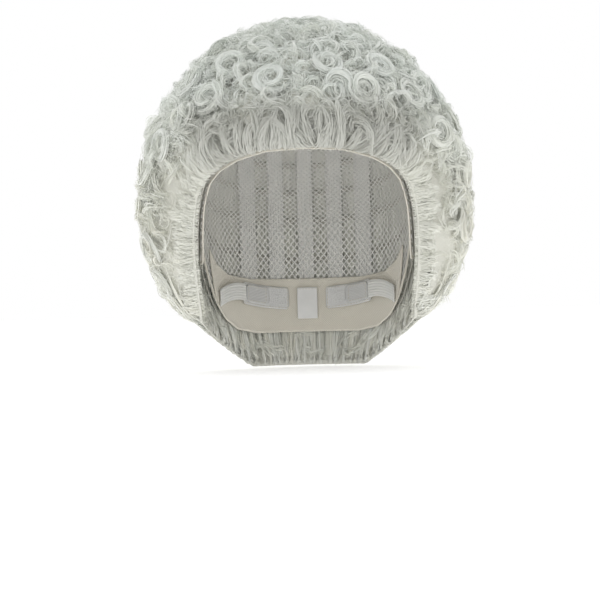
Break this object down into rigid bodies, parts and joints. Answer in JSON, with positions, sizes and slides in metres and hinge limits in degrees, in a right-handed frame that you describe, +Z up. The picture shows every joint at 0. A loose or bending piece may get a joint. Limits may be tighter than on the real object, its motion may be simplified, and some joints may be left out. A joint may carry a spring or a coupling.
{
  "type": "costume wig",
  "caption": "Short, tightly curled white costume wig on an elastic wefted cap, with a swept-back front roll and adjustable nape straps.",
  "frame": {"origin": "centre of the head that wears the wig, at the line where its circumference is taken", "axes": "+Z up towards the crown, -Y out through the face opening, +X to the wearer's left"},
  "size_m": [0.2368, 0.2392, 0.2456],
  "materials": {
    "hair_fibre": "satin",
    "lining_fabric": "matt",
    "stretch_net": "matt",
    "elastic": "matt",
    "weft_heading": "matt",
    "loop_fabric": "matt",
    "hook_tape": "satin",
    "satin_label": "satin"
  },
  "bodies": {
    "root": {"forehead_band": "lining_fabric", "left_ear_tab": "lining_fabric", "right_ear_tab": "lining_fabric", "left_ear_binding": "lining_fabric", "right_ear_binding": "lining_fabric", "nape_band": "lining_fabric", "cap_net": "stretch_net", "crown_net": "stretch_net", "centre_ribbon": "elastic", "left_inner_ribbon": "elastic", "right_inner_ribbon": "elastic", "left_outer_ribbon": "elastic", "right_outer_ribbon": "elastic", "left_loop_patch": "loop_fabric", "right_loop_patch": "loop_fabric", "left_adjuster_strap": "elastic", "right_adjuster_strap": "elastic", "care_label": "satin_label", "weft_1_track": "weft_heading", "weft_2_track": "weft_heading", "weft_3_track": "weft_heading", "weft_4_track": "weft_heading", "weft_5_track": "weft_heading", "weft_6_track": "weft_heading", "weft_7_track": "weft_heading", "weft_8_track": "weft_heading", "front_track": "weft_heading", "left_temple_track": "weft_heading", "right_temple_track": "weft_heading", "nape_track": "weft_heading", "crown_hair": "hair_fibre", "weft_1_hair": "hair_fibre", "weft_2_hair": "hair_fibre", "weft_3_hair": "hair_fibre", "weft_4_hair": "hair_fibre", "weft_5_hair": "hair_fibre", "weft_6_hair": "hair_fibre", "weft_7_hair": "hair_fibre", "weft_8_hair": "hair_fibre", "front_hair_roll": "hair_fibre", "left_temple_hair": "hair_fibre", "right_temple_hair": "hair_fibre", "nape_hair": "hair_fibre"},
    "left_adjuster": {"left_hook_tab": "hook_tape"},
    "right_adjuster": {"right_hook_tab": "hook_tape"}
  },
  "joints": [
    {"name": "left_adjust", "type": "hinge", "parent": "root", "child": "left_adjuster", "pos_m": [0, 0.03152, -0.04059], "axis": [0, 0.2531, 0.9674], "range_deg": [0, 13.7], "deforming": ["left_adjuster_strap"]},
    {"name": "right_adjust", "type": "hinge", "parent": "root", "child": "right_adjuster", "pos_m": [0, 0.03152, -0.04059], "axis": [0, -0.2531, -0.9674], "range_deg": [0, 13.7], "deforming": ["right_adjuster_strap"]}
  ]
}
